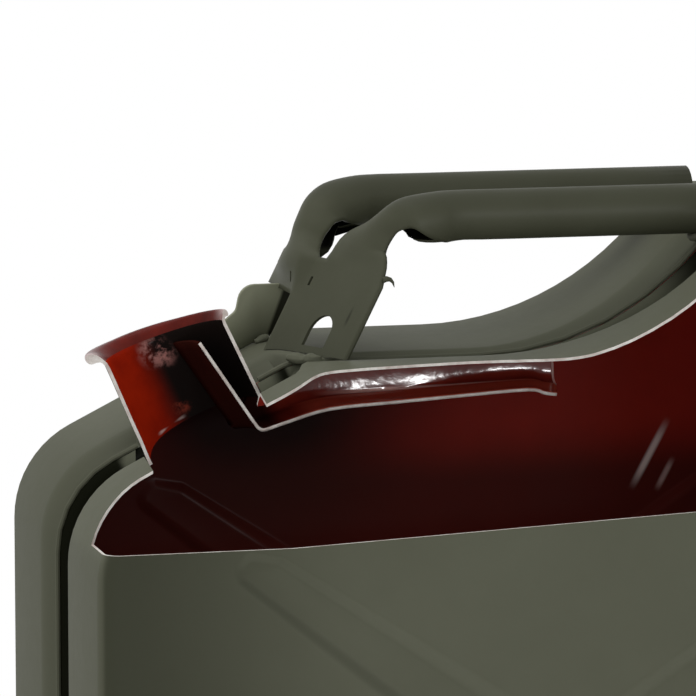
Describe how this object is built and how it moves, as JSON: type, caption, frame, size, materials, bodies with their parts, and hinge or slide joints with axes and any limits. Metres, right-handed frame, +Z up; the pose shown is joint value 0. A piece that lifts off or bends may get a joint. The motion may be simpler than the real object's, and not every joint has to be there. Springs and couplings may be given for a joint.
{
  "type": "fuel can",
  "caption": "Sectioned steel fuel can: olive pressed half shells, cut-away near side, half filler neck, breather duct, bracket and tube handles",
  "frame": {"origin": "on the ground, under the middle of the can", "axes": "+X along the wide side from the filler neck to the hump, +Y across the narrow side away from the cut side, +Z up"},
  "size_m": [0.345, 0.165, 0.47],
  "materials": {
    "olive_enamel": "satin olive-green enamel on pressed steel",
    "olive_enamel_near": "satin olive-green enamel on pressed steel",
    "olive_enamel_handles": "satin olive-green enamel on rolled steel",
    "olive_enamel_welds": "satin olive-green enamel on weld metal",
    "red_lacquer": "glossy red lacquer on steel"
  },
  "bodies": {
    "root": {"far_half_shell": "olive_enamel", "near_half_shell": "olive_enamel_near", "seam_weld": "olive_enamel_welds", "filler_neck": "red_lacquer", "neck_weld": "olive_enamel_welds", "breather_duct": "red_lacquer", "handle_bracket": "olive_enamel_handles", "centre_handle": "olive_enamel_handles", "far_handle": "olive_enamel_handles", "far_hinge_ear": "olive_enamel_handles", "bracket_foot_weld": "olive_enamel_welds", "ear_weld": "olive_enamel_welds", "centre_handle_weld": "olive_enamel_welds", "far_handle_weld": "olive_enamel_welds"}
  },
  "joints": []
}
